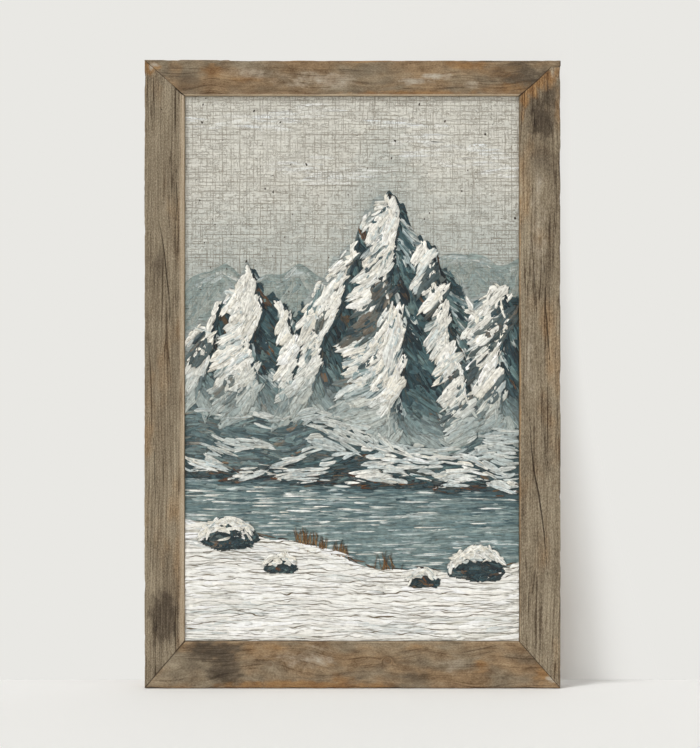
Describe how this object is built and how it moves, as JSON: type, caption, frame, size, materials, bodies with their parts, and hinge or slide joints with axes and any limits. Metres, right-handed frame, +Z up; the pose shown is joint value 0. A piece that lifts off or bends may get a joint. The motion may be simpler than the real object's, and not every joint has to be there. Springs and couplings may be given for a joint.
{
  "type": "framed picture",
  "caption": "Upright framed picture: mitred rails of rustic weathered wood round a stretched canvas with thick knife-laid paint, hardware on its back.",
  "frame": {"origin": "middle of the underside of the bottom rail, halfway between the front and the back of the wall pads", "axes": "+Z up the picture, +X to the right as seen from the front, the painted face looks along -Y"},
  "size_m": [0.404, 0.0292, 0.61],
  "materials": {
    "weathered_wood": "weathered, brushed grain with worn edges",
    "stretcher_pine": "planed bare pine",
    "key_wood": "bare hardwood wedges",
    "linen": "primed linen, raw on the back",
    "zinc_steel": "zinc plated",
    "brass": "stamped, slightly dulled",
    "bumper_felt": "pressed felt",
    "paint_sky": "thin satin paint over the weave",
    "paint_haze": "satin paint",
    "paint_rock": "thick knife-laid paint, half gloss",
    "paint_water": "knife-laid paint, half gloss",
    "paint_snow": "thick ridged satin paint"
  },
  "bodies": {
    "root": {"bar_bottom": "stretcher_pine", "bar_left": "stretcher_pine", "bar_right": "stretcher_pine", "bar_top": "stretcher_pine", "bumper_left": "bumper_felt", "bumper_right": "bumper_felt", "canvas": "linen", "clip_bottom": "zinc_steel", "clip_left_1": "zinc_steel", "clip_left_2": "zinc_steel", "clip_right_1": "zinc_steel", "clip_right_2": "zinc_steel", "clip_top": "zinc_steel", "fastener_bottom_left": "zinc_steel", "fastener_bottom_right": "zinc_steel", "fastener_top_left": "zinc_steel", "fastener_top_right": "zinc_steel", "hanger": "brass", "key_bottom_1": "key_wood", "key_bottom_2": "key_wood", "key_left_1": "key_wood", "key_left_2": "key_wood", "key_right_1": "key_wood", "key_right_2": "key_wood", "key_top_1": "key_wood", "key_top_2": "key_wood", "nail_1": "brass", "nail_2": "brass", "paint_bank": "paint_snow", "paint_far_range_1": "paint_haze", "paint_far_range_2": "paint_haze", "paint_far_range_3": "paint_haze", "paint_lake": "paint_water", "paint_mountain": "paint_rock", "paint_rock_1": "paint_rock", "paint_rock_2": "paint_rock", "paint_rock_3": "paint_rock", "paint_rock_4": "paint_rock", "paint_sky": "paint_sky", "rail_bottom": "weathered_wood", "rail_left": "weathered_wood", "rail_right": "weathered_wood", "rail_top": "weathered_wood", "screw_bottom": "zinc_steel", "screw_left_1": "zinc_steel", "screw_left_2": "zinc_steel", "screw_right_1": "zinc_steel", "screw_right_2": "zinc_steel", "screw_top": "zinc_steel"}
  },
  "joints": []
}
